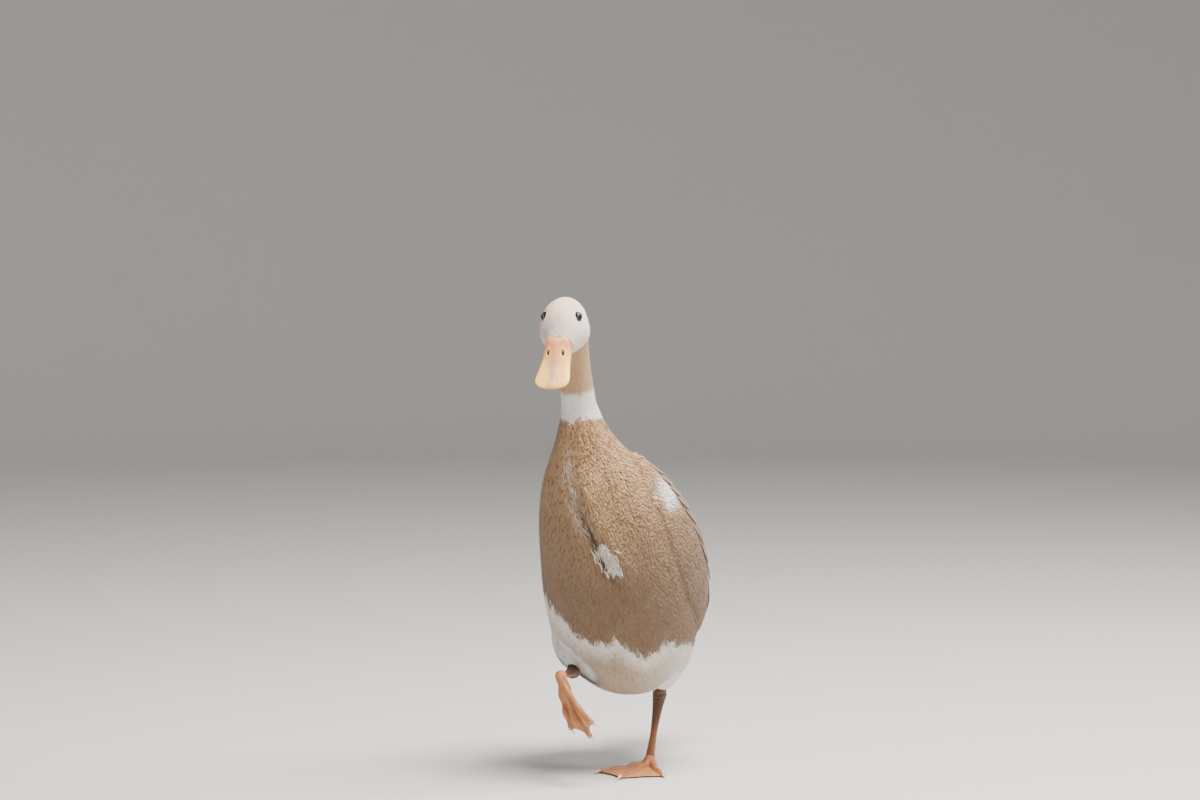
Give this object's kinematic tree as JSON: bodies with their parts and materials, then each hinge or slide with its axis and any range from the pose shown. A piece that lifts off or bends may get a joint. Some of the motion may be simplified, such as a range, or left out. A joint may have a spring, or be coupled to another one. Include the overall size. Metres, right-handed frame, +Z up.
{
  "type": "indian runner duck",
  "caption": "Still, life-size model of an upright fawn-and-white runner duck in mid-stride, standing on its left webbed foot with the right foot lifted.",
  "frame": {"origin": "on the floor, on the flat of the sole pad under the toe joint of the left foot, which carries the duck", "axes": "+Z up, the duck looks along -Y, and its own left side is +X"},
  "size_m": [0.1854, 0.3578, 0.4977],
  "materials": {
    "fawn_feather": "matt overlapping feathers, buff fawn",
    "white_feather": "matt fine feathers, white",
    "pale_feather": "matt short dense feathers, pale pinkish fawn",
    "bill_horn": "satin horn, pale orange yellow",
    "eye_glass": "wet glossy black",
    "leg_skin": "scaled skin, dull orange brown"
  },
  "bodies": {
    "root": {"torso": "fawn_feather", "neck": "white_feather", "head": "pale_feather", "bill_upper": "bill_horn", "bill_lower": "bill_horn", "eye_left": "eye_glass", "eye_right": "eye_glass", "wing_left": "fawn_feather", "wing_right": "fawn_feather", "tail": "fawn_feather", "thigh_left": "white_feather", "thigh_right": "white_feather", "shank_left": "leg_skin", "shank_right": "leg_skin", "foot_left": "leg_skin", "foot_right": "leg_skin"}
  },
  "joints": []
}
